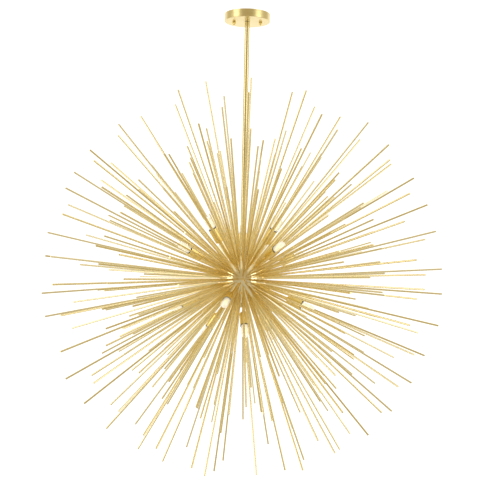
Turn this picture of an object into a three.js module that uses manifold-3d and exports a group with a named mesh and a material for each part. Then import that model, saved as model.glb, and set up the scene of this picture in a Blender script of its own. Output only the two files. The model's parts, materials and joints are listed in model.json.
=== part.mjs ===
// Starburst pendant chandelier: canopy, swivel, stem, ball, straight rods and fourteen candle lamps.
// Millimetres, +Z up. The origin is on the ceiling plane, on the axis of the canopy.
import * as THREE from 'three';
import { mergeVertices } from 'three/addons/utils/BufferGeometryUtils.js';
import Module from 'manifold-3d';

const wasm = await Module();
wasm.setup();

// Clearance between neighbouring pieces
const GAP = 0.3;

// Canopy against the ceiling
const CANOPY_R = 63.5;
const CANOPY_H = 22;
const CANOPY_WALL = 1.2;
const CANOPY_HOLE_R = 10.4;
const CANOPY_HOLE_FLARE = 0.7;
const CANOPY_EDGE = 1.6;

// Crossbar, studs and nuts inside the canopy
const BAR_LENGTH = 104;
const BAR_WIDTH = 16;
const BAR_THICK = 2.5;
const STUD_X = 37;
const STUD_R = 2;
const STUD_BOTTOM = -27;
const NUT_R = 4.6;
const NUT_H = 9.6;
const GROUND_X = 24;
const GROUND_R = 1.5;
const GROUND_HEAD_R = 3.5;

// Hang-straight swivel
const PIVOT_Z = -15.4;
const BLOCK = 7;
const PIN_R = 1.5;
const PIN_REACH = 7;
const EAR_THICK = 1.8;
const EAR_WIDTH = 6;
const SWIVEL_R = 12;
const FORK_RIM_TOP = -17.8;
const FORK_RIM_R = 8.6;
const FORK_PLATE_TOP = -20.3;
const FORK_PLATE_BOTTOM = -22.3;
const SPINDLE_R = 3;
const SPINDLE_END = -38;
const SPINDLE_HEAD = 2.5;
const SPINDLE_HEAD_R = 4.3;

// Stem
const STEM_R = 6.8;
const STEM_BORE_R = 5.2;
const STEM_TOP = -22.7;
const STEM_JOIN = -330;
const NIPPLE_HALF = 16;

// Ball
const BALL_Z = -743;
const BALL_R = 69;
const SKIN = 3;
const BALL_SEGMENT = 15;
const PANEL_GAP_DEG = 0.15;
const SEAM_DEG = 0.5;
const HUB_R = 13;
const HUB_HALF = 14;

// Rods
const ROD_R = 2.6;
const ROD_SIDES = 6;
const ROD_LONG = 548;
const ROD_SHORT = 398;
const ROD_ROOT = BALL_R - 1.8;
const ROW_COUNT = 9;
const ROW_FIRST_DEG = 5;
const ROW_STEP_DEG = 8.8;
const RODS_AT_EQUATOR = 27;
const ROD_TILT = 0.035;
const ROD_LENGTH_SPREAD = 0.006;
const ROD_EDGE = 3.3;
const ROD_CLEAR = 1.2;

// Lamps: rings given by latitude, first azimuth, number of lamps and radius of the cup's mouth
const LAMP_RINGS = [
  { latitude: 22.5, azimuth: -58, count: 4, mouth: 184 },
  { latitude: -22.5, azimuth: -13, count: 4, mouth: 184 },
  { latitude: 54, azimuth: 60, count: 3, mouth: 165 },
  { latitude: -54, azimuth: 6, count: 3, mouth: 165 },
];
const CUP_R = 12;
const CUP_BORE_R = 10.5;
const CUP_LENGTH = 44;
const ARM_R = 4;
const ARM_START = 61;
const ARM_NUT_R = 6;
const ARM_NUT_H = 3.5;
const CUP_FLOOR = 5;
const GLASS_R = 10;
const GLASS_OUT = 36;
const BULB_BASE_R = 6.5;

// Panels of the ball's skin in each half: rows of rods held, and the number of sectors
const BANDS = [
  { rows: [0, 3], sectors: 4, name: 'waist' },
  { rows: [3, 6], sectors: 3, name: 'shoulder' },
  { rows: [6, 9], sectors: 1, name: 'pole' },
];

const GOLD = { color: 0xc9a24d, metalness: 1, roughness: 0.3 };
const STEEL = { color: 0x9a9c9e, metalness: 1, roughness: 0.45 };
const GREEN = { color: 0x2f7d4a, metalness: 0.4, roughness: 0.5 };
const GLASS = { color: 0xfff6dc, metalness: 0, roughness: 0.12 };

const root = new THREE.Group();
root.name = 'starburst_chandelier';
const centre = new THREE.Vector3(0, 0, BALL_Z);
const radians = THREE.MathUtils.degToRad;

function manifoldOf(geometry) {
  const plain = new THREE.BufferGeometry();
  plain.setAttribute('position', geometry.getAttribute('position').clone());
  if (geometry.index) {
    plain.setIndex(geometry.index.clone());
  }
  const merged = mergeVertices(plain, 1e-4);
  const vertProperties = new Float32Array(merged.getAttribute('position').array);
  const triVerts = new Uint32Array(merged.index.array);
  const points = (i) => new THREE.Vector3().fromArray(vertProperties, 3 * i);
  const kept = [];
  let volume = 0;
  for (let t = 0; t < triVerts.length; t += 3) {
    const [a, b, c] = [triVerts[t], triVerts[t + 1], triVerts[t + 2]];
    if (a === b || b === c || c === a) {
      continue;
    }
    kept.push([a, b, c]);
    volume += points(a).dot(points(b).cross(points(c)));
  }
  const faces = kept.flatMap(([a, b, c]) => (volume > 0 ? [a, b, c] : [a, c, b]));
  return new wasm.Manifold(new wasm.Mesh({
    numProp: 3,
    vertProperties,
    triVerts: new Uint32Array(faces),
  }));
}

function addNode(name, body, look) {
  const parts = body.decompose();
  if (parts.length !== 1) {
    throw new Error(`${name} has ${parts.length} bodies`);
  }
  const mesh = body.getMesh();
  const geometry = new THREE.BufferGeometry();
  const positions = new Float32Array(mesh.numVert * 3);
  for (let i = 0; i < mesh.numVert; i += 1) {
    for (let j = 0; j < 3; j += 1) {
      positions[3 * i + j] = mesh.vertProperties[mesh.numProp * i + j];
    }
  }
  geometry.setAttribute('position', new THREE.BufferAttribute(positions, 3));
  geometry.setIndex(Array.from(mesh.triVerts));
  const flat = geometry.toNonIndexed();
  flat.computeVertexNormals();
  const node = new THREE.Mesh(flat, new THREE.MeshStandardMaterial({ ...look, name }));
  node.name = name;
  root.add(node);
}

// A turned body about +Z from [radius, height] pairs that start and end on the axis
function turned(profile, segments) {
  const points = profile.map(([r, z]) => new THREE.Vector2(r, z));
  const geometry = new THREE.LatheGeometry(points, segments);
  geometry.rotateX(Math.PI / 2);
  return manifoldOf(geometry);
}

// A ring about +Z whose [radius, height] profile closes on itself
function ring(profile, segments) {
  return turned([...profile, profile[0]], segments);
}

function box(sx, sy, sz, x, y, z) {
  const geometry = new THREE.BoxGeometry(sx, sy, sz);
  geometry.translate(x, y, z);
  return manifoldOf(geometry);
}

// A prism with the given number of sides between two points
function prism(radius, from, to, sides) {
  const axis = to.clone().sub(from);
  const geometry = new THREE.CylinderGeometry(radius, radius, axis.length(), sides);
  const turn = new THREE.Quaternion().setFromUnitVectors(
    new THREE.Vector3(0, 1, 0),
    axis.clone().normalize(),
  );
  geometry.applyQuaternion(turn);
  geometry.translate(...from.clone().add(to).multiplyScalar(0.5).toArray());
  return manifoldOf(geometry);
}

function upright(radius, z0, z1, x, y, sides) {
  return prism(radius, new THREE.Vector3(x, y, z0), new THREE.Vector3(x, y, z1), sides);
}

// Puts a body made along +Z from the origin onto a ray from the ball's centre
function placed(body, direction) {
  const turn = new THREE.Quaternion().setFromUnitVectors(new THREE.Vector3(0, 0, 1), direction);
  const matrix = new THREE.Matrix4().compose(centre, turn, new THREE.Vector3(1, 1, 1));
  return body.transform(matrix.elements.slice());
}

function onSphere(latitudeDeg, azimuthDeg) {
  const latitude = radians(latitudeDeg);
  const azimuth = radians(azimuthDeg);
  return new THREE.Vector3(
    Math.cos(latitude) * Math.sin(azimuth),
    -Math.cos(latitude) * Math.cos(azimuth),
    Math.sin(latitude),
  );
}

// Lamps
const lamps = [];
for (const lampRing of LAMP_RINGS) {
  for (let i = 0; i < lampRing.count; i += 1) {
    const azimuth = lampRing.azimuth + (360 * i) / lampRing.count;
    lamps.push({ mouth: lampRing.mouth, axis: onSphere(lampRing.latitude, azimuth) });
  }
}

function lampHolder(mouth) {
  const foot = mouth - CUP_LENGTH;
  return turned([
    [0, ARM_START - ARM_NUT_H],
    [ARM_NUT_R, ARM_START - ARM_NUT_H],
    [ARM_NUT_R, ARM_START],
    [ARM_R, ARM_START],
    [ARM_R, foot - 3],
    [CUP_R - 4, foot],
    [CUP_R, foot + 2],
    [CUP_R, mouth],
    [CUP_BORE_R, mouth],
    [CUP_BORE_R, foot + CUP_FLOOR],
    [0, foot + CUP_FLOOR],
  ], 10);
}

function bulb(mouth) {
  const foot = mouth - CUP_LENGTH + CUP_FLOOR + GAP;
  const end = mouth + GLASS_OUT;
  return turned([
    [0, foot],
    [BULB_BASE_R, foot],
    [BULB_BASE_R, mouth - 16],
    [GLASS_R, mouth - 11],
    [GLASS_R, end - 8],
    [GLASS_R * 0.8, end - 2.6],
    [GLASS_R * 0.42, end - 0.5],
    [0, end],
  ], 10);
}

// Rods: rows of latitude on both halves, long and short ones in turn, each with a slight tilt
function wave(n, m) {
  const s = Math.sin(12.9898 * n + 78.233 * m) * 43758.5453;
  return 2 * (s - Math.floor(s)) - 1;
}

function distanceTo(point, axis) {
  return point.clone().sub(axis.clone().multiplyScalar(point.dot(axis))).length();
}

function clearsLamps(from, to) {
  for (const lamp of lamps) {
    for (let r = BALL_R; r < lamp.mouth + GLASS_OUT + 4; r += 3) {
      const along = (r - from.length()) / (to.length() - from.length());
      const point = from.clone().lerp(to, Math.max(0, along));
      if (point.dot(lamp.axis) > 0) {
        const reach = r < lamp.mouth - CUP_LENGTH - 6 ? ARM_R + 0.8 : CUP_R;
        if (distanceTo(point, lamp.axis) < reach + ROD_R + ROD_CLEAR) {
          return false;
        }
      }
    }
  }
  return true;
}

function bandOf(row) {
  return BANDS.findIndex((band) => row >= band.rows[0] && row < band.rows[1]);
}

function latitudeOf(row) {
  return ROW_FIRST_DEG + ROW_STEP_DEG * row;
}

const rods = [];
for (const half of [1, -1]) {
  for (let row = 0; row < ROW_COUNT; row += 1) {
    const latitude = latitudeOf(row);
    const count = Math.round(RODS_AT_EQUATOR * Math.cos(radians(latitude)));
    const band = bandOf(row);
    const sectors = BANDS[band].sectors;
    const edge = THREE.MathUtils.radToDeg(ROD_EDGE / (BALL_R * Math.cos(radians(latitude))));
    for (let i = 0; i < count; i += 1) {
      const stagger = (row % 2) * 0.5 + (half > 0 ? 0 : 0.25);
      let azimuth = (360 * (i + stagger)) / count;
      const span = 360 / sectors;
      let sector = 0;
      if (sectors > 1) {
        sector = Math.floor(azimuth / span);
        const inside = Math.min(Math.max(azimuth - sector * span, edge), span - edge);
        azimuth = sector * span + inside;
      }
      const outward = onSphere(half * latitude, azimuth);
      const east = new THREE.Vector3(0, 0, 1).cross(outward).normalize();
      const north = outward.clone().cross(east);
      const key = 31 * row + (half > 0 ? 0 : 400);
      const aim = outward.clone()
        .addScaledVector(east, ROD_TILT * wave(i, key))
        .addScaledVector(north, ROD_TILT * wave(i + 57, key))
        .normalize();
      const tip = (i + row) % 2 === 0 ? ROD_LONG : ROD_SHORT;
      const length = tip * (1 + ROD_LENGTH_SPREAD * wave(i + 91, key)) - BALL_R;
      const surface = outward.clone().multiplyScalar(BALL_R);
      const from = surface.clone().addScaledVector(aim, ROD_ROOT - BALL_R);
      const to = surface.clone().addScaledVector(aim, length);
      if (clearsLamps(surface, to)) {
        rods.push({ half, band, sector: sector % sectors, from, to });
      }
    }
  }
}

// A panel of the ball's skin between two latitudes and two azimuths
function panel(latitude0, latitude1, azimuth0, azimuth1, closed) {
  const rows = Math.max(2, Math.round(Math.abs(latitude1 - latitude0) / BALL_SEGMENT));
  const columns = Math.max(3, Math.round((azimuth1 - azimuth0) / BALL_SEGMENT));
  const across = closed ? columns : columns + 1;
  const positions = [];
  const index = [];
  for (const radius of [BALL_R, BALL_R - SKIN]) {
    for (let r = 0; r <= rows; r += 1) {
      for (let c = 0; c < across; c += 1) {
        const latitude = latitude0 + ((latitude1 - latitude0) * r) / rows;
        const azimuth = azimuth0 + ((azimuth1 - azimuth0) * c) / columns;
        positions.push(...onSphere(latitude, azimuth).multiplyScalar(radius).toArray());
      }
    }
  }
  const at = (layer, r, c) => (layer * (rows + 1) + r) * across + (c % across);
  const quad = (a, b, c, d) => index.push(a, b, c, a, c, d);
  for (let r = 0; r < rows; r += 1) {
    for (let c = 0; c < columns; c += 1) {
      quad(at(0, r, c), at(0, r, c + 1), at(0, r + 1, c + 1), at(0, r + 1, c));
      quad(at(1, r, c), at(1, r + 1, c), at(1, r + 1, c + 1), at(1, r, c + 1));
    }
  }
  for (let c = 0; c < columns; c += 1) {
    quad(at(0, 0, c), at(1, 0, c), at(1, 0, c + 1), at(0, 0, c + 1));
    quad(at(0, rows, c), at(0, rows, c + 1), at(1, rows, c + 1), at(1, rows, c));
  }
  if (!closed) {
    for (let r = 0; r < rows; r += 1) {
      quad(at(0, r, 0), at(0, r + 1, 0), at(1, r + 1, 0), at(1, r, 0));
      const c = columns;
      quad(at(0, r, c), at(1, r, c), at(1, r + 1, c), at(0, r + 1, c));
    }
  }
  const geometry = new THREE.BufferGeometry();
  geometry.setAttribute('position', new THREE.Float32BufferAttribute(positions, 3));
  geometry.setIndex(index);
  return manifoldOf(geometry);
}

function rodGroup(half, bandIndex, sector) {
  const band = BANDS[bandIndex];
  const low = bandIndex === 0 ? PANEL_GAP_DEG : latitudeOf(band.rows[0]) - ROW_STEP_DEG / 2 + PANEL_GAP_DEG;
  const poleDeg = THREE.MathUtils.radToDeg(Math.acos((STEM_R + GAP + 0.3) / BALL_R));
  const high = bandIndex === 2 ? poleDeg : latitudeOf(band.rows[1]) - ROW_STEP_DEG / 2 - PANEL_GAP_DEG;
  const span = 360 / band.sectors;
  const closed = band.sectors === 1;
  const seam = closed ? 0 : SEAM_DEG / 2;
  const skin = panel(half * low, half * high, sector * span + seam, (sector + 1) * span - seam, closed);
  const held = rods.filter((rod) => rod.half === half && rod.band === bandIndex && rod.sector === sector);
  const bodies = held.map((rod) => prism(ROD_R, rod.from, rod.to, ROD_SIDES));
  const holes = lamps.map((lamp) => prism(
    ARM_R + 0.35,
    lamp.axis.clone().multiplyScalar(BALL_R - 12),
    lamp.axis.clone().multiplyScalar(BALL_R + 8),
    12,
  ));
  const pierced = skin.subtract(wasm.Manifold.union(holes));
  const group = wasm.Manifold.union([pierced, ...bodies]);
  return group.translate(centre.toArray());
}

for (const half of [1, -1]) {
  for (const [bandIndex, band] of BANDS.entries()) {
    for (let sector = 0; sector < band.sectors; sector += 1) {
      const side = half > 0 ? 'upper' : 'lower';
      const tail = band.sectors > 1 ? `_${sector + 1}` : '';
      addNode(`rods_${side}_${band.name}${tail}`, rodGroup(half, bandIndex, sector), GOLD);
    }
  }
}

for (const [i, lamp] of lamps.entries()) {
  const number = String(i + 1).padStart(2, '0');
  addNode(`lamp_holder_${number}`, placed(lampHolder(lamp.mouth), lamp.axis), GOLD);
  addNode(`bulb_${number}`, placed(bulb(lamp.mouth), lamp.axis), GLASS);
}

// Canopy: a shallow pan open to the ceiling, with a hole for the stem and two for the studs
const pan = ring([
  [CANOPY_HOLE_R, -CANOPY_H],
  [CANOPY_R - CANOPY_EDGE, -CANOPY_H],
  [CANOPY_R, -CANOPY_H + CANOPY_EDGE],
  [CANOPY_R, 0],
  [CANOPY_R - CANOPY_WALL, 0],
  [CANOPY_R - CANOPY_WALL, -CANOPY_H + CANOPY_EDGE],
  [CANOPY_R - CANOPY_EDGE - 0.6, -CANOPY_H + CANOPY_WALL],
  [CANOPY_HOLE_R + CANOPY_HOLE_FLARE, -CANOPY_H + CANOPY_WALL],
], 32);
const studHoles = [STUD_X, -STUD_X].map((x) => upright(STUD_R + GAP, 3, -CANOPY_H - 5, x, 0, 8));
addNode('canopy', pan.subtract(wasm.Manifold.union(studHoles)), GOLD);

// Crossbar with holes for the studs and the ground screw
const bar = box(BAR_LENGTH, BAR_WIDTH, BAR_THICK, 0, 0, -BAR_THICK / 2);
const groundHole = upright(GROUND_R + GAP, 1, -BAR_THICK - 1, GROUND_X, 0, 10);
addNode('mounting_crossbar', bar.subtract(wasm.Manifold.union([...studHoles, groundHole])), STEEL);

for (const [side, x] of [['left', -STUD_X], ['right', STUD_X]]) {
  addNode(`mounting_stud_${side}`, upright(STUD_R, -0.4, STUD_BOTTOM, x, 0, 10), STEEL);
  const nutTop = -CANOPY_H - GAP;
  const nut = turned([
    [STUD_R + GAP, nutTop],
    [NUT_R, nutTop],
    [NUT_R, nutTop - NUT_H * 0.55],
    [NUT_R * 0.72, nutTop - NUT_H * 0.86],
    [0, nutTop - NUT_H],
    [0, STUD_BOTTOM - GAP],
    [STUD_R + GAP, STUD_BOTTOM - GAP],
    [STUD_R + GAP, nutTop],
  ], 14);
  addNode(`cap_nut_${side}`, nut.translate([x, 0, 0]), GOLD);
}

const groundScrew = turned([
  [0, -0.5],
  [GROUND_R, -0.5],
  [GROUND_R, -BAR_THICK - GAP],
  [GROUND_HEAD_R, -BAR_THICK - GAP],
  [GROUND_HEAD_R, -BAR_THICK - 2.4],
  [0, -BAR_THICK - 2.4],
], 12);
addNode('ground_screw', groundScrew.translate([GROUND_X, 0, 0]), GREEN);

// Swivel: a fixed yoke, a block with crossed pins and a fork on a disc with a headed spindle.
// The disc's rim is part of a sphere about the pivot, so it turns in the canopy's hole.
const earInner = BLOCK / 2 + GAP;
const earMiddle = earInner + EAR_THICK / 2;
const yokeTop = -BAR_THICK - GAP;
const yokeBottom = PIVOT_Z - 3.1;
const yokeParts = [box(2 * earInner + 2 * EAR_THICK, EAR_WIDTH, 2, 0, 0, yokeTop - 1)];
for (const side of [1, -1]) {
  const height = yokeTop - yokeBottom;
  yokeParts.push(box(EAR_THICK, EAR_WIDTH, height, side * earMiddle, 0, yokeTop - height / 2));
}
const pinWay = (radius, axis, reach, sides) => prism(
  radius,
  axis.clone().multiplyScalar(-reach).setZ(PIVOT_Z),
  axis.clone().multiplyScalar(reach).setZ(PIVOT_Z),
  sides,
);
const alongX = new THREE.Vector3(1, 0, 0);
const alongY = new THREE.Vector3(0, 1, 0);
const yoke = wasm.Manifold.union(yokeParts).subtract(pinWay(PIN_R + GAP, alongX, 12, 12));
addNode('swivel_yoke', yoke, STEEL);

const blockParts = [
  box(BLOCK, BLOCK, BLOCK, 0, 0, PIVOT_Z),
  pinWay(PIN_R, alongX, PIN_REACH, 12),
  pinWay(PIN_R, alongY, PIN_REACH, 12),
];
addNode('swivel_block', wasm.Manifold.union(blockParts), STEEL);

const forkEarTop = PIVOT_Z + 3;
const forkEarHeight = forkEarTop - FORK_PLATE_BOTTOM - 0.5;
const swivelRadiusAt = (z) => Math.sqrt(SWIVEL_R ** 2 - (z - PIVOT_Z) ** 2);
const forkRim = [];
for (let i = 0; i <= 3; i += 1) {
  const z = FORK_RIM_TOP + ((FORK_PLATE_BOTTOM - FORK_RIM_TOP) * i) / 3;
  forkRim.push([swivelRadiusAt(z), z]);
}
const forkParts = [turned([
  [0, FORK_PLATE_TOP],
  [FORK_RIM_R, FORK_PLATE_TOP],
  [FORK_RIM_R, FORK_RIM_TOP],
  ...forkRim,
  [SPINDLE_R, FORK_PLATE_BOTTOM],
  [SPINDLE_R, SPINDLE_END + SPINDLE_HEAD],
  [SPINDLE_HEAD_R, SPINDLE_END + SPINDLE_HEAD],
  [SPINDLE_HEAD_R, SPINDLE_END],
  [0, SPINDLE_END],
], 32)];
for (const side of [1, -1]) {
  const middle = forkEarTop - forkEarHeight / 2;
  forkParts.push(box(EAR_WIDTH, EAR_THICK, forkEarHeight, 0, side * earMiddle, middle));
}
const fork = wasm.Manifold.union(forkParts).subtract(pinWay(PIN_R + GAP, alongY, 12, 12));
addNode('stem_fork', fork, GOLD);

// Stem: two tubes joined by a nipple, the upper one hung on the head of the spindle
addNode('stem_upper', ring([
  [SPINDLE_R + GAP, STEM_TOP],
  [STEM_R, STEM_TOP],
  [STEM_R, STEM_JOIN + GAP / 2],
  [STEM_BORE_R, STEM_JOIN + GAP / 2],
  [STEM_BORE_R, SPINDLE_END + SPINDLE_HEAD + GAP],
  [SPINDLE_R + GAP, SPINDLE_END + SPINDLE_HEAD + GAP],
], 16), GOLD);
addNode('stem_nipple', ring([
  [STEM_BORE_R - 1.4, STEM_JOIN + NIPPLE_HALF],
  [STEM_BORE_R - GAP, STEM_JOIN + NIPPLE_HALF],
  [STEM_BORE_R - GAP, STEM_JOIN - NIPPLE_HALF],
  [STEM_BORE_R - 1.4, STEM_JOIN - NIPPLE_HALF],
], 16), STEEL);
addNode('stem_lower', ring([
  [STEM_BORE_R, STEM_JOIN - GAP / 2],
  [STEM_R, STEM_JOIN - GAP / 2],
  [STEM_R, BALL_Z + 2],
  [STEM_BORE_R, BALL_Z + 2],
], 16), GOLD);

// Ball: a collar where the stem goes in, a hub at the middle and a finial below
const collarBottom = BALL_Z + BALL_R + GAP;
addNode('ball_top_collar', ring([
  [STEM_R + GAP, collarBottom],
  [11.5, collarBottom],
  [11.5, collarBottom + 2.5],
  [9, collarBottom + 5],
  [STEM_R + GAP, collarBottom + 5],
], 20), GOLD);
const finialTop = BALL_Z - BALL_R - GAP;
addNode('ball_hub', turned([
  [STEM_R + GAP, BALL_Z + HUB_HALF],
  [HUB_R, BALL_Z + HUB_HALF],
  [HUB_R, BALL_Z - HUB_HALF],
  [3, BALL_Z - HUB_HALF],
  [3, finialTop - 5],
  [0, finialTop - 5],
  [0, BALL_Z + 2 - GAP],
  [STEM_R + GAP, BALL_Z + 2 - GAP],
  [STEM_R + GAP, BALL_Z + HUB_HALF],
], 16), STEEL);
addNode('ball_bottom_finial', turned([
  [3 + GAP, finialTop],
  [11, finialTop],
  [10.4, finialTop - 3.5],
  [6, finialTop - 8],
  [0, finialTop - 9.6],
  [0, finialTop - 5 - GAP],
  [3 + GAP, finialTop - 5 - GAP],
  [3 + GAP, finialTop],
], 16), GOLD);

export default root;
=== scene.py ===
"""Starburst pendant chandelier: the looks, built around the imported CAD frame. Metres, +Z up."""
import json
import math

import bmesh
import bpy
from mathutils import Matrix, Vector


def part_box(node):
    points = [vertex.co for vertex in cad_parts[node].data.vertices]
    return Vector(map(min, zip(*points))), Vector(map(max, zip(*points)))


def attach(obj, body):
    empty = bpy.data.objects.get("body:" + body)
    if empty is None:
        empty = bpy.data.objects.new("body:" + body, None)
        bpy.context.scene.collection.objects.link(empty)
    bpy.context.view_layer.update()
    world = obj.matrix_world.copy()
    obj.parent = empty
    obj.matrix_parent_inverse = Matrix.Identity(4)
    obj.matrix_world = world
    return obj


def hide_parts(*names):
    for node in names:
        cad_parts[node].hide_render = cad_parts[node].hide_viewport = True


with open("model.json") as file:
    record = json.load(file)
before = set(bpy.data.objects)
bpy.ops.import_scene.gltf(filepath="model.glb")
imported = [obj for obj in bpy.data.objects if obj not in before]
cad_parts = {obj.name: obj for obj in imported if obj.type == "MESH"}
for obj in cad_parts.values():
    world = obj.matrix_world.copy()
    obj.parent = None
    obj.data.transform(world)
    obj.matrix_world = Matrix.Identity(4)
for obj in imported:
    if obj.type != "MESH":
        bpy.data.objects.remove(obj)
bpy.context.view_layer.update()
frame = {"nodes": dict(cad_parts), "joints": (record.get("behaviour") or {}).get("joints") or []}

MM = 0.001

# The photograph's view, as a camera placed from the ball
VIEW_DISTANCE = 3.8
VIEW_BELOW_DEG = 4.0
VIEW_PITCH_DEG = 5.41
VIEW_YAW_DEG = -0.1
VIEW_ROLL_DEG = 1.2
LENS_MM = 101.5
SENSOR_MM = 36
CLIP_END = 60

# Sizes that several pieces share
BALL_R = 69 * MM
ROD_R = 2.55 * MM
STEM_R = 6.8 * MM
CUP_R = 12 * MM
CUP_LENGTH = 44 * MM
GLASS_R = 10 * MM
GLASS_OUT = 36 * MM

collar_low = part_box("ball_top_collar")[0]
finial_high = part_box("ball_bottom_finial")[1]
CENTRE = Vector((0, 0, (collar_low[2] + finial_high[2]) / 2))


# ---------------------------------------------------------------- materials


# How a noise is squeezed along X, Y and Z
EVEN = (1, 1, 1)
IN_RINGS = (1, 1, 30)
ROUND_THE_RIM = (1, 1, 4)
ALONG_THE_STEM = (1, 1, 0.02)

# The middle range of a noise, where its colour ramp runs
RAMP_START = 0.3
RAMP_END = 0.7

# The rod's own share of its tone, against the slow noise
ROD_SHARE = 0.7

# How much detail the noises have, and how strong the bumps are
TONE_DETAIL = 3
GRAIN_DETAIL = 4
METAL_BUMP = 0.25
PLASTIC_BUMP = 0.3


def node_material(name):
    material = bpy.data.materials.new(name)
    material.use_nodes = True
    tree = material.node_tree
    return material, tree, tree.nodes["Principled BSDF"]


def noise(tree, scale, detail, stretch=EVEN):
    """The 0 to 1 of a noise texture on object coordinates."""
    place = tree.nodes.new("ShaderNodeTexCoord")
    mapping = tree.nodes.new("ShaderNodeMapping")
    mapping.inputs["Scale"].default_value = stretch
    texture = tree.nodes.new("ShaderNodeTexNoise")
    texture.inputs["Scale"].default_value = scale
    texture.inputs["Detail"].default_value = detail
    tree.links.new(place.outputs["Object"], mapping.inputs["Vector"])
    tree.links.new(mapping.outputs["Vector"], texture.inputs["Vector"])
    return texture.outputs["Fac"]


def ramp(tree, value, low, high):
    """A colour that goes from low to high over the value's middle range."""
    node = tree.nodes.new("ShaderNodeValToRGB")
    first, last = node.color_ramp.elements
    first.position = RAMP_START
    last.position = RAMP_END
    first.color = (*low, 1)
    last.color = (*high, 1)
    tree.links.new(value, node.inputs["Fac"])
    return node.outputs["Color"]


def spread(tree, value, low, high):
    """The value's 0 to 1 turned into low to high."""
    node = tree.nodes.new("ShaderNodeMapRange")
    node.inputs["To Min"].default_value = low
    node.inputs["To Max"].default_value = high
    tree.links.new(value, node.inputs["Value"])
    return node.outputs["Result"]


def tone_by_rod(tree, tone):
    """The slow tone mixed with each rod's own tone, from the attribute that add_rod writes."""
    own = tree.nodes.new("ShaderNodeAttribute")
    own.attribute_name = "rod_tone"
    blend = tree.nodes.new("ShaderNodeMix")
    blend.inputs["Factor"].default_value = ROD_SHARE
    tree.links.new(tone, blend.inputs["A"])
    tree.links.new(own.outputs["Fac"], blend.inputs["B"])
    return blend.outputs["Result"]


def add_grain(tree, shader, grain, rough, strength, depth):
    """Roughness and bump that both follow a fine grain."""
    tree.links.new(spread(tree, grain, *rough), shader.inputs["Roughness"])
    bump = tree.nodes.new("ShaderNodeBump")
    bump.inputs["Strength"].default_value = strength
    bump.inputs["Distance"].default_value = depth
    tree.links.new(grain, bump.inputs["Height"])
    tree.links.new(bump.outputs["Normal"], shader.inputs["Normal"])


def metal(name, low, high, rough, tone_scale, grain_scale, grain_depth,
          tone_stretch=EVEN, grain_stretch=EVEN, by_rod=False):
    """A plated metal: its tone varies slowly, its roughness and bump follow a finer grain."""
    material, tree, shader = node_material(name)
    shader.inputs["Metallic"].default_value = 1.0
    tone = noise(tree, tone_scale, TONE_DETAIL, tone_stretch)
    if by_rod:
        tone = tone_by_rod(tree, tone)
    grain = noise(tree, grain_scale, GRAIN_DETAIL, grain_stretch)
    tree.links.new(ramp(tree, tone, low, high), shader.inputs["Base Color"])
    add_grain(tree, shader, grain, rough, METAL_BUMP, grain_depth)
    return material


def plastic(name, low, high, rough, grain_scale, grain_depth):
    """A moulded or fired material: colour, roughness and bump all follow one grain."""
    material, tree, shader = node_material(name)
    grain = noise(tree, grain_scale, GRAIN_DETAIL)
    tree.links.new(ramp(tree, grain, low, high), shader.inputs["Base Color"])
    add_grain(tree, shader, grain, rough, PLASTIC_BUMP, grain_depth)
    return material


BRIGHT_LOW = (0.90, 0.70, 0.24)
BRIGHT_HIGH = (0.96, 0.78, 0.34)

rod_gold = metal(
    "rod_gold", (0.80, 0.65, 0.30), (0.93, 0.81, 0.49), rough=(0.14, 0.24),
    tone_scale=5, grain_scale=700, grain_depth=0.01 * MM, by_rod=True)
ball_gold = metal(
    "ball_gold", (0.86, 0.70, 0.38), (0.92, 0.77, 0.45), rough=(0.02, 0.07),
    tone_scale=20, grain_scale=300, grain_depth=0.004 * MM)
stem_gold = metal(
    "stem_gold", (0.69, 0.575, 0.28), (0.76, 0.645, 0.34), rough=(0.16, 0.26),
    tone_scale=3, grain_scale=500, grain_depth=0.002 * MM, grain_stretch=ALONG_THE_STEM)
cup_gold = metal(
    "cup_gold", BRIGHT_LOW, BRIGHT_HIGH, rough=(0.16, 0.26),
    tone_scale=14, grain_scale=700, grain_depth=0.02 * MM)
canopy_gold = metal(
    "canopy_gold", (0.75, 0.61, 0.275), (0.82, 0.68, 0.335), rough=(0.24, 0.38),
    tone_scale=9, grain_scale=400, grain_depth=0.01 * MM,
    tone_stretch=IN_RINGS, grain_stretch=ROUND_THE_RIM)
nut_gold = metal(
    "nut_gold", BRIGHT_LOW, BRIGHT_HIGH, rough=(0.10, 0.20),
    tone_scale=30, grain_scale=500, grain_depth=0.01 * MM)
steel = metal(
    "zinc_steel", (0.42, 0.43, 0.45), (0.62, 0.62, 0.63), rough=(0.3, 0.5),
    tone_scale=60, grain_scale=400, grain_depth=0.06 * MM)
green = metal(
    "green_screw", (0.02, 0.17, 0.05), (0.04, 0.28, 0.09), rough=(0.3, 0.45),
    tone_scale=90, grain_scale=600, grain_depth=0.05 * MM)
socket_black = plastic(
    "socket_black", (0.012, 0.010, 0.009), (0.03, 0.026, 0.022), rough=(0.4, 0.6),
    grain_scale=500, grain_depth=0.05 * MM)
lamp_core = plastic(
    "lamp_core", (0.86, 0.78, 0.55), (0.95, 0.88, 0.66), rough=(0.35, 0.5),
    grain_scale=300, grain_depth=0.04 * MM)


def glass_material():
    material, tree, shader = node_material("lamp_glass")
    shader.inputs["Base Color"].default_value = (1.0, 0.985, 0.93, 1)
    shader.inputs["Transmission Weight"].default_value = 0.66
    shader.inputs["Emission Color"].default_value = (1.0, 0.96, 0.84, 1)
    shader.inputs["Emission Strength"].default_value = 0.12
    shader.inputs["IOR"].default_value = 1.45
    haze = noise(tree, scale=60, detail=2)
    tree.links.new(spread(tree, haze, 0.02, 0.10), shader.inputs["Roughness"])
    return material


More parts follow.
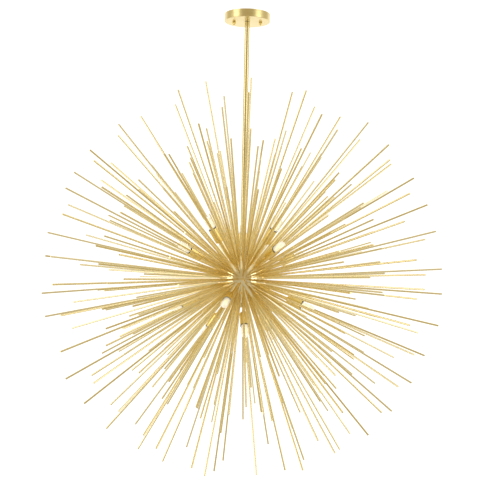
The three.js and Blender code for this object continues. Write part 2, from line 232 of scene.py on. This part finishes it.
def filament_material():
    material, tree, shader = node_material("filament")
    shader.inputs["Emission Color"].default_value = (1.0, 0.86, 0.50, 1)
    shader.inputs["Emission Strength"].default_value = 1.2
    shader.inputs["Roughness"].default_value = 0.5
    beads = noise(tree, scale=900, detail=1)
    colour = ramp(tree, beads, (0.95, 0.72, 0.25), (1.0, 0.85, 0.45))
    tree.links.new(colour, shader.inputs["Base Color"])
    return material


lamp_glass = glass_material()
filament = filament_material()


# ---------------------------------------------------------------- mesh tools


# Edges that bend by more than this are shaded sharp, and a radius under ON_AXIS is a point
SHARP_DEG = 35
ON_AXIS = 1e-7


def finish_piece(name, bm, material, body):
    """Turns a bmesh into a smooth-shaded piece that rides on a body."""
    mesh = bpy.data.meshes.new(name)
    bmesh.ops.recalc_face_normals(bm, faces=bm.faces)
    bm.to_mesh(mesh)
    bm.free()
    mesh.polygons.foreach_set("use_smooth", [True] * len(mesh.polygons))
    mesh.set_sharp_from_angle(angle=math.radians(SHARP_DEG))
    mesh.materials.append(material)
    piece = bpy.data.objects.new(name, mesh)
    bpy.context.scene.collection.objects.link(piece)
    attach(piece, body)
    return piece


def add_turned(bm, profile, segments, matrix=Matrix(), ripple=0.0):
    """Adds a body turned about +Z from (radius, height) pairs and gives its rings of vertices.

    A pair on the axis closes with a fan. With ripple, every second meridian is drawn in by that
    length, as knurling.
    """
    rings = []
    for radius, height in profile:
        if radius < ON_AXIS:
            rings.append([bm.verts.new(matrix @ Vector((0, 0, height)))])
            continue
        ring = []
        for i in range(segments):
            r = radius - (ripple if i % 2 else 0)
            angle = 2 * math.pi * i / segments
            point = Vector((r * math.cos(angle), r * math.sin(angle), height))
            ring.append(bm.verts.new(matrix @ point))
        rings.append(ring)
    pairs = list(zip(rings, rings[1:]))
    if len(rings[0]) > 1:
        pairs.append((rings[-1], rings[0]))
    for lower, upper in pairs:
        if len(lower) == 1 and len(upper) == 1:
            continue
        for i in range(segments):
            j = (i + 1) % segments
            if len(lower) == 1:
                bm.faces.new((lower[0], upper[j], upper[i]))
            elif len(upper) == 1:
                bm.faces.new((lower[i], lower[j], upper[0]))
            else:
                bm.faces.new((lower[i], lower[j], upper[j], upper[i]))
    return rings


def turned_piece(name, profile, material, body, segments, matrix=Matrix()):
    bm = bmesh.new()
    add_turned(bm, profile, segments, matrix)
    return finish_piece(name, bm, material, body)


def arc(radius, centre_r, centre_z, start_deg, end_deg, steps):
    """Points of a circular arc in the (radius, height) plane."""
    points = []
    for i in range(steps + 1):
        angle = math.radians(start_deg + (end_deg - start_deg) * i / steps)
        points.append((centre_r + radius * math.cos(angle), centre_z + radius * math.sin(angle)))
    return points


def facing(direction, origin=CENTRE):
    """The matrix that takes +Z at the world's origin to direction at origin."""
    turn = direction.to_track_quat("Z", "Y").to_matrix().to_4x4()
    return Matrix.Translation(origin) @ turn


# ---------------------------------------------------------------- rods and ball


# A rod's end faces lie beyond TIP_ZONE and point away from the ball, and those of one rod lie
# within SAME_TIP of each other
TIP_ZONE = 4 * BALL_R
POINTS_OUT = 0.9
SAME_TIP = 8 * MM

ROD_SIDES = 12
TIP_CHAMFER = 0.45 * MM

# Each rod's tone is a golden-ratio step on from the last one's, so neighbours differ
TONE_STEP = 0.618

# The fillet at the ball: share of the rod's radius, and how far out from the ball's surface
ROD_FOOT = [(1.2, -1.5 * MM), (1.2, 0.2 * MM), (1.05, 0.7 * MM), (1.0, 1.4 * MM)]


def rods_of(node):
    """The (tip centre, direction) of each rod of a CAD group, from the flat ends far from the ball."""
    mesh = node.data
    ends = []
    for face in mesh.polygons:
        out = face.center - CENTRE
        if out.length < TIP_ZONE or face.normal.dot(out.normalized()) < POINTS_OUT:
            continue
        corners = [mesh.vertices[i].co for i in face.vertices]
        near = [end for end in ends if (end[0][0] - corners[0]).length < SAME_TIP]
        if near:
            near[0][0].extend(corners)
        else:
            ends.append((list(corners), face.normal.copy()))
    rods = []
    for corners, normal in ends:
        low = Vector([min(c[k] for c in corners) for k in range(3)])
        high = Vector([max(c[k] for c in corners) for k in range(3)])
        rods.append(((low + high) / 2, normal))
    return rods


def add_rod(bm, tip, direction, tone_layer, tone):
    """One round rod with a fillet at the ball and a chamfered tip, all of one tone from 0 to 1."""
    across = (CENTRE - tip).dot(direction)
    nearest = (CENTRE - tip - across * direction).length
    length = -across - math.sqrt(BALL_R**2 - nearest**2)
    foot = [(ROD_R * share, out - length) for share, out in ROD_FOOT]
    profile = [
        (0, foot[0][1]),
        *foot,
        (ROD_R, -TIP_CHAMFER),
        (ROD_R - TIP_CHAMFER, 0),
        (0, 0),
    ]
    for ring in add_turned(bm, profile, ROD_SIDES, facing(direction, tip)):
        for vertex in ring:
            vertex[tone_layer] = tone


def rod_groups():
    """Every CAD rod group as one piece of separate round rods."""
    count = 0
    for node_name, node in sorted(frame["nodes"].items()):
        if not node_name.startswith("rods_"):
            continue
        group = bmesh.new()
        tone_layer = group.verts.layers.float.new("rod_tone")
        for tip, direction in rods_of(node):
            add_rod(group, tip, direction, tone_layer, count * TONE_STEP % 1.0)
            count += 1
        piece = finish_piece(f"{node_name}_round", group, rod_gold, "pendant")
        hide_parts(node_name)


def hemisphere(name, sign):
    """Half of the ball's shell, with a softened edge at the equator and a hole at its pole."""
    inner = BALL_R - 3 * MM
    hole = STEM_R + 0.6 * MM
    half_seam = 0.12 * MM
    edge = 0.5 * MM
    outer_start_deg = 0.7
    inner_end_deg = 0.5
    pole_deg = math.degrees(math.acos(hole / BALL_R))
    profile = [
        (inner, half_seam),
        (BALL_R - edge, half_seam),
        *arc(BALL_R, 0, 0, outer_start_deg, pole_deg, 30),
        *arc(inner, 0, 0, pole_deg, inner_end_deg, 20),
    ]
    flip = Matrix.Translation(CENTRE) @ Matrix.Diagonal((1, 1, sign, 1))
    turned_piece(name, profile, ball_gold, "pendant", segments=96, matrix=flip)


def collar():
    """The two-step ring where the stem enters the ball."""
    low = collar_low[2]
    bore = STEM_R + 0.3 * MM
    bead = 0.9 * MM
    foot_r = 11.5 * MM
    step_r = 9.4 * MM
    top_r = 8.9 * MM
    profile = [
        (bore, low),
        (foot_r - 0.2 * MM, low),
        *arc(bead, foot_r - bead, low + 1.4 * MM, -40, 90, 6),
        (step_r, low + 2.8 * MM),
        *arc(bead, top_r - bead, low + 4.0 * MM, 0, 90, 5),
        (bore, low + 5.0 * MM),
    ]
    piece = turned_piece("ball_collar", profile, stem_gold, "pendant", segments=48)
    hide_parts("ball_top_collar")


def finial():
    """The domed nut under the ball."""
    high = finial_high[2]
    bore = 3.3 * MM
    bore_floor = high - 5.4 * MM
    rim_r = 10.9 * MM
    rim_bead = 0.8 * MM
    dome_r = 6.0 * MM
    dome_centre_r = 2.2 * MM
    profile = [
        (bore, high),
        (rim_r - 0.3 * MM, high),
        *arc(rim_bead, rim_r - rim_bead, high - 1.2 * MM, 40, -70, 6),
        (9.8 * MM, high - 3.2 * MM),
        *arc(dome_r, dome_centre_r, high - 3.4 * MM, -6, -84, 10),
        (0, high - 9.5 * MM),
        (0, bore_floor),
        (bore, bore_floor),
    ]
    piece = turned_piece("ball_finial", profile, stem_gold, "pendant", segments=48)
    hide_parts("ball_bottom_finial")


rod_groups()
hemisphere("ball_upper_half", 1)
hemisphere("ball_lower_half", -1)
collar()
finial()


# ---------------------------------------------------------------- stem and canopy


TUBE_BORE = 5.2 * MM
LIP_IN = 1.9 * MM
LIP_HEIGHT = 13 * MM


def tube(name, node_name, lip=0.0):
    """A stem tube with broken edges, between the ends of its CAD node. A lip narrows its top."""
    low, high = (corner[2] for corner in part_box(node_name))
    low_edge = 0.35 * MM
    top_edge = 0.08 * MM
    mouth = TUBE_BORE - lip
    profile = [
        (TUBE_BORE, low),
        (STEM_R - low_edge, low),
        (STEM_R, low + low_edge),
        (STEM_R, high - top_edge),
        (STEM_R - top_edge, high),
        (mouth, high),
    ]
    if lip:
        profile += [(mouth, high - LIP_HEIGHT), (TUBE_BORE, high - LIP_HEIGHT)]
    piece = turned_piece(name, profile, stem_gold, "pendant", segments=40)
    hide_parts(node_name)


def canopy_pan():
    """The shallow pan on the ceiling, open at the top, with a hole for the stem."""
    low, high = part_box("canopy")
    radius = (high[0] - low[0]) / 2
    bottom, top = low[2], high[2]
    wall = 1.2 * MM
    edge = 1.3 * MM
    inner_edge = 2.2 * MM
    top_chamfer = 0.3 * MM
    hole = 10.4 * MM
    hole_bevel = 0.7 * MM
    profile = [
        (hole, bottom),
        *arc(edge, radius - edge, bottom + edge, -90, 0, 8),
        (radius, top - top_chamfer),
        (radius - top_chamfer, top),
        (radius - wall, top),
        (radius - wall, bottom + inner_edge),
        (radius - inner_edge, bottom + wall),
        (hole + hole_bevel, bottom + wall),
    ]
    piece = turned_piece("canopy_pan", profile, canopy_gold, "mount", segments=128)
    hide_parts("canopy")


def cap_nut(side):
    """A domed nut with a knurled skirt, bored for its stud."""
    low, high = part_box(f"cap_nut_{side}")
    place = Matrix.Translation(Vector(((low[0] + high[0]) / 2, 0, 0)))
    radius = (high[0] - low[0]) / 2
    bottom, top = low[2], high[2]
    skirt = top - 3.4 * MM
    bore = 2.3 * MM
    bore_floor = bottom + 1.9 * MM
    edge = 0.4 * MM
    knurl = 0.28 * MM
    dome_r = radius - 0.5 * MM
    dome_top = skirt + 0.2 * MM
    skirt_profile = [
        (bore, top),
        (radius - 0.3 * MM, top),
        (radius, top - edge),
        (radius, skirt + edge),
        (radius - edge, skirt),
        (bore, skirt),
    ]
    dome_profile = [
        (dome_r, dome_top),
        *arc(dome_r, 0, bottom + dome_r, 0, -82, 8),
        (0, bottom),
        (0, bore_floor),
        (bore, bore_floor),
        (bore, dome_top),
    ]
    bm = bmesh.new()
    add_turned(bm, skirt_profile, segments=48, matrix=place, ripple=knurl)
    add_turned(bm, dome_profile, segments=32, matrix=place)
    piece = finish_piece(f"cap_nut_{side}_knurled", bm, nut_gold, "mount")
    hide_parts(f"cap_nut_{side}")


tube("stem_tube_upper", "stem_upper", LIP_IN)
tube("stem_tube_lower", "stem_lower")
canopy_pan()
cap_nut("left")
cap_nut("right")


# ---------------------------------------------------------------- lamps


# Heights are distances out from the ball's centre, along the lamp's axis. The mouth is the cup's
# open end, the foot its closed one, and the neck and end are those of the glass. NECK_IN is how
# deep in the cup the neck is, and SKIN_GAP how far a skin stays inside its CAD solid.
NECK_IN = 15.0 * MM
SKIN_GAP = 0.1 * MM
FILAMENTS = 4


def cup(number, matrix, foot, mouth):
    """The flange inside the ball, the arm, its nut and the cup, as one turned piece."""
    flange_low = 57.6 * MM
    flange_high = 61.0 * MM
    flange_r = 5.9 * MM
    arm_r = 3.9 * MM
    nut_r = 4.9 * MM
    outer = CUP_R - SKIN_GAP
    bore = 10.5 * MM
    bore_floor = foot + 5.2 * MM
    corner = 3.0 * MM
    rim = 0.5 * MM
    lip = mouth - 3.2 * MM
    profile = [
        (0, flange_low),
        (flange_r, flange_low),
        (flange_r, flange_high - 0.2 * MM),
        (arm_r, flange_high),
        (arm_r, foot - 4.5 * MM),
        (nut_r, foot - 3.8 * MM),
        (nut_r, foot - 1.6 * MM),
        (6.8 * MM, foot - 0.6 * MM),
        *arc(corner, outer - corner, foot + corner + SKIN_GAP, -80, 0, 6),
        *arc(rim, outer - rim, lip, 0, 150, 6),
        (bore, lip),
        (bore, bore_floor),
        (0, bore_floor),
    ]
    name = f"cup_{number}"
    piece = turned_piece(name, profile, cup_gold, "pendant", segments=40, matrix=matrix)
    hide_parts(f"lamp_holder_{number}")


def socket(number, matrix, foot, mouth):
    """The dark sleeve in the cup, with a rim that shows round the glass."""
    low = foot + 5.4 * MM
    throat = 6.9 * MM
    sleeve = 10.4 * MM
    bore = 10.15 * MM
    rim = 0.6 * MM
    rim_r = 11.6 * MM
    rim_low = mouth - 2.5 * MM
    profile = [
        (throat, low),
        (sleeve, low),
        (sleeve, rim_low),
        (rim_r - 0.1 * MM, rim_low),
        *arc(rim, rim_r - rim, mouth - 0.7 * MM, 0, 150, 5),
        (bore, mouth - 1.0 * MM),
        (bore, mouth - 15.6 * MM),
        (7.3 * MM, mouth - 16.6 * MM),
        (throat, mouth - 17.4 * MM),
    ]
    name = f"socket_{number}"
    turned_piece(name, profile, socket_black, "pendant", segments=32, matrix=matrix)


def glass(number, matrix, neck, end):
    """The clear envelope: a round-ended tube with a real wall, drawn in at the neck."""
    wall = 0.8 * MM
    outer_r = GLASS_R - SKIN_GAP
    inner_r = outer_r - wall
    dome = end - outer_r
    shoulder = neck + 5.0 * MM
    outer_bend = 2.4 * MM
    inner_bend = 1.8 * MM
    inner_neck = 5.4 * MM
    profile = [
        (6.2 * MM, neck),
        (7.0 * MM, neck + 1.0 * MM),
        *arc(outer_bend, outer_r - outer_bend, shoulder, -60, 0, 5),
        *arc(outer_r, 0, dome, 0, 81, 9),
        (0, end),
        (0, end - wall),
        *arc(inner_r, 0, dome, 81, 0, 9),
        *arc(inner_bend, inner_r - inner_bend, shoulder, 0, -60, 5),
        (inner_neck, neck + 0.6 * MM),
        (inner_neck, neck),
    ]
    name, bulb = f"glass_{number}", f"bulb_{number}"
    piece = turned_piece(name, profile, lamp_glass, bulb, segments=40, matrix=matrix)
    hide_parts(bulb)


def lamp_base(number, matrix, low, neck):
    """The screw base, with turned rings in place of a helix."""
    root_r = 5.6 * MM
    crest_r = 6.3 * MM
    collar_r = 6.1 * MM
    rings = 6
    pitch = (neck - low - 2.2 * MM) / rings
    threads = []
    for i in range(rings):
        z = low + 1.8 * MM + pitch * i
        threads += [(root_r, z), (crest_r, z + pitch * 0.5)]
    profile = [
        (0, low),
        (2.6 * MM, low),
        (5.0 * MM, low + 1.2 * MM),
        *threads,
        (collar_r, neck - 0.3 * MM),
        (collar_r, neck + 0.4 * MM),
        (0, neck + 0.4 * MM),
    ]
    name, bulb = f"lamp_base_{number}", f"bulb_{number}"
    turned_piece(name, profile, steel, bulb, segments=32, matrix=matrix)


def lamp_stem(number, matrix, neck, end):
    """The pale core that carries the filaments."""
    low = neck + 0.5 * MM
    profile = [
        (0, low),
        (4.6 * MM, low),
        (4.2 * MM, neck + 5.0 * MM),
        (2.4 * MM, neck + 8.5 * MM),
        (1.3 * MM, neck + 10.0 * MM),
        (1.0 * MM, end - 12.0 * MM),
        (0, end - 11.6 * MM),
    ]
    name, bulb = f"lamp_stem_{number}", f"bulb_{number}"
    turned_piece(name, profile, lamp_core, bulb, segments=20, matrix=matrix)


def filaments(number, matrix, neck, end):
    """Four thin sticks that lean outwards round the core."""
    foot_r = 3.0 * MM
    head_r = 4.6 * MM
    inset = 10 * MM
    stick_r = 0.75 * MM
    taper = 0.3 * MM
    first_angle = 0.4
    bm = bmesh.new()
    for k in range(FILAMENTS):
        angle = first_angle + 2 * math.pi * k / FILAMENTS
        across = Vector((math.cos(angle), math.sin(angle), 0))
        low = foot_r * across + Vector((0, 0, neck + inset))
        high = head_r * across + Vector((0, 0, end - inset))
        length = (high - low).length
        profile = [(0, 0), (stick_r, taper), (stick_r, length - taper), (0, length)]
        place = matrix @ facing((high - low).normalized(), low)
        add_turned(bm, profile, segments=10, matrix=place)
    finish_piece(f"filaments_{number}", bm, filament, f"bulb_{number}")


def lamp(joint):
    """One lamp on the line that its bulb slides along."""
    number = joint["name"].removeprefix("bulb_").removesuffix("_out")
    axis = Vector(joint["axis"]).normalized()
    holder = frame["nodes"][f"lamp_holder_{number}"].data
    mouth = max((v.co - CENTRE).dot(axis) for v in holder.vertices)
    foot = mouth - CUP_LENGTH
    neck = mouth - NECK_IN
    end = mouth + GLASS_OUT - SKIN_GAP
    matrix = facing(axis)
    cup(number, matrix, foot, mouth)
    socket(number, matrix, foot, mouth)
    glass(number, matrix, neck, end)
    lamp_base(number, matrix, foot + 5.6 * MM, neck)
    lamp_stem(number, matrix, neck, end)
    filaments(number, matrix, neck, end)


for joint in frame["joints"]:
    if joint["name"].startswith("bulb_"):
        lamp(joint)


# ---------------------------------------------------------------- CAD nodes that stay


def repaint(material, *names):
    for name in names:
        mesh = frame["nodes"][name].data
        mesh.materials.clear()
        mesh.materials.append(material)


repaint(steel, "mounting_crossbar", "mounting_stud_left", "mounting_stud_right", "swivel_yoke")
repaint(steel, "swivel_block", "stem_nipple", "ball_hub")
repaint(stem_gold, "stem_fork")
repaint(green, "ground_screw")


# ---------------------------------------------------------------- stage, light and camera


FLOOR_Z = -4.5
FLOOR_FRONT_Y = -22.0
FLOOR_HALF_WIDTH = 22.0
WALL_HALF_WIDTH = 9.0
WALL_Y = 6.0
WALL_TOP_Z = 6.0
BEND_R = 2.5
BEND_STEPS = 12

# The backdrop's own glow, on the floor and GLOW_RISE above it
FLOOR_GLOW = 0.2
WALL_GLOW = 0.86
GLOW_RISE = 0.25

# The world's colour by where a ray points, from 0 towards the viewer to 1 away from the viewer
WARM_DIM = (0.52, 0.45, 0.32)
BRIGHT_WHITE = (0.84, 0.83, 0.80)
SOFT_WHITE = (0.68, 0.62, 0.50)
WORLD_STOPS = [(0.085, WARM_DIM), (0.165, BRIGHT_WHITE), (0.31, BRIGHT_WHITE), (0.56, SOFT_WHITE)]


def backdrop_material():
    material, tree, shader = node_material("backdrop_paper")
    shader.inputs["Base Color"].default_value = (0.5, 0.5, 0.5, 1)
    shader.inputs["Roughness"].default_value = 0.9
    shader.inputs["Emission Strength"].default_value = 1.0
    place = tree.nodes.new("ShaderNodeTexCoord")
    split = tree.nodes.new("ShaderNodeSeparateXYZ")
    glow = tree.nodes.new("ShaderNodeMapRange")
    glow.inputs["From Min"].default_value = FLOOR_Z
    glow.inputs["From Max"].default_value = FLOOR_Z + GLOW_RISE
    glow.inputs["To Min"].default_value = FLOOR_GLOW
    glow.inputs["To Max"].default_value = WALL_GLOW
    tree.links.new(place.outputs["Object"], split.inputs["Vector"])
    tree.links.new(split.outputs["Z"], glow.inputs["Value"])
    tree.links.new(glow.outputs["Result"], shader.inputs["Emission Color"])
    return material


def backdrop():
    """A wide pale floor that sweeps up into a narrower wall behind."""
    bend_y = WALL_Y - BEND_R
    section = [(FLOOR_FRONT_Y, FLOOR_Z, FLOOR_HALF_WIDTH), (bend_y, FLOOR_Z, FLOOR_HALF_WIDTH)]
    for k in range(1, BEND_STEPS + 1):
        angle = math.pi / 2 * k / BEND_STEPS
        rise = 1 - math.cos(angle)
        half_width = FLOOR_HALF_WIDTH + (WALL_HALF_WIDTH - FLOOR_HALF_WIDTH) * rise
        section.append((bend_y + BEND_R * math.sin(angle), FLOOR_Z + BEND_R * rise, half_width))
    section.append((WALL_Y, WALL_TOP_Z, WALL_HALF_WIDTH))
    bm = bmesh.new()
    rows = [[bm.verts.new((x, y, z)) for x in (-half, half)] for y, z, half in section]
    for a, b in zip(rows, rows[1:]):
        bm.faces.new((a[0], a[1], b[1], b[0]))
    mesh = bpy.data.meshes.new("backdrop")
    bm.to_mesh(mesh)
    bm.free()
    mesh.polygons.foreach_set("use_smooth", [True] * len(mesh.polygons))
    mesh.materials.append(backdrop_material())
    piece = bpy.data.objects.new("backdrop", mesh)
    bpy.context.scene.collection.objects.link(piece)


def world_light():
    """A pale surround: dim behind the viewer, brightest in a ring round that, softer beyond."""
    world = bpy.data.worlds.new("studio")
    bpy.context.scene.world = world
    world.use_nodes = True
    tree = world.node_tree
    background = tree.nodes["Background"]
    background.inputs["Strength"].default_value = 1.0
    place = tree.nodes.new("ShaderNodeTexCoord")
    split = tree.nodes.new("ShaderNodeSeparateXYZ")
    shade = tree.nodes.new("ShaderNodeMapRange")
    shade.inputs["From Min"].default_value = -1.0
    shade.inputs["From Max"].default_value = 1.0
    bands = tree.nodes.new("ShaderNodeValToRGB")
    stops = bands.color_ramp.elements
    stops[0].color = (*WARM_DIM, 1)
    stops[1].color = (*SOFT_WHITE, 1)
    for position, colour in WORLD_STOPS:
        stops.new(position).color = (*colour, 1)
    tree.links.new(place.outputs["Generated"], split.inputs["Vector"])
    tree.links.new(split.outputs["Y"], shade.inputs["Value"])
    tree.links.new(shade.outputs["Result"], bands.inputs["Fac"])
    tree.links.new(bands.outputs["Color"], background.inputs["Color"])


def area_light(name, location, size, energy):
    """A rectangular light that faces the ball."""
    data = bpy.data.lights.new(name, "AREA")
    data.shape = "RECTANGLE"
    data.size, data.size_y = size
    data.energy = energy
    light = bpy.data.objects.new(name, data)
    light.location = location
    light.rotation_euler = (CENTRE - Vector(location)).to_track_quat("-Z", "Y").to_euler()
    bpy.context.scene.collection.objects.link(light)


def camera():
    data = bpy.data.cameras.new("camera")
    data.lens = LENS_MM
    data.sensor_width = SENSOR_MM
    data.clip_end = CLIP_END
    eye = bpy.data.objects.new("camera", data)
    below = math.radians(VIEW_BELOW_DEG)
    eye.location = CENTRE + VIEW_DISTANCE * Vector((0, -math.cos(below), -math.sin(below)))
    aim = Matrix.Rotation(math.radians(VIEW_YAW_DEG), 4, "Z")
    aim = aim @ Matrix.Rotation(math.radians(90 + VIEW_PITCH_DEG), 4, "X")
    aim = aim @ Matrix.Rotation(math.radians(VIEW_ROLL_DEG), 4, "Z")
    eye.rotation_euler = aim.to_euler()
    bpy.context.scene.collection.objects.link(eye)
    bpy.context.scene.camera = eye


bpy.context.scene.view_settings.view_transform = "Standard"
backdrop()
world_light()
area_light("key", (-3.0, -2.0, -0.3), size=(1.7, 3.0), energy=27)
area_light("fill", (3.1, -2.0, -0.5), size=(1.7, 3.0), energy=25)
area_light("top", (0.4, 0.6, 2.2), size=(2.5, 2.5), energy=6)
camera()
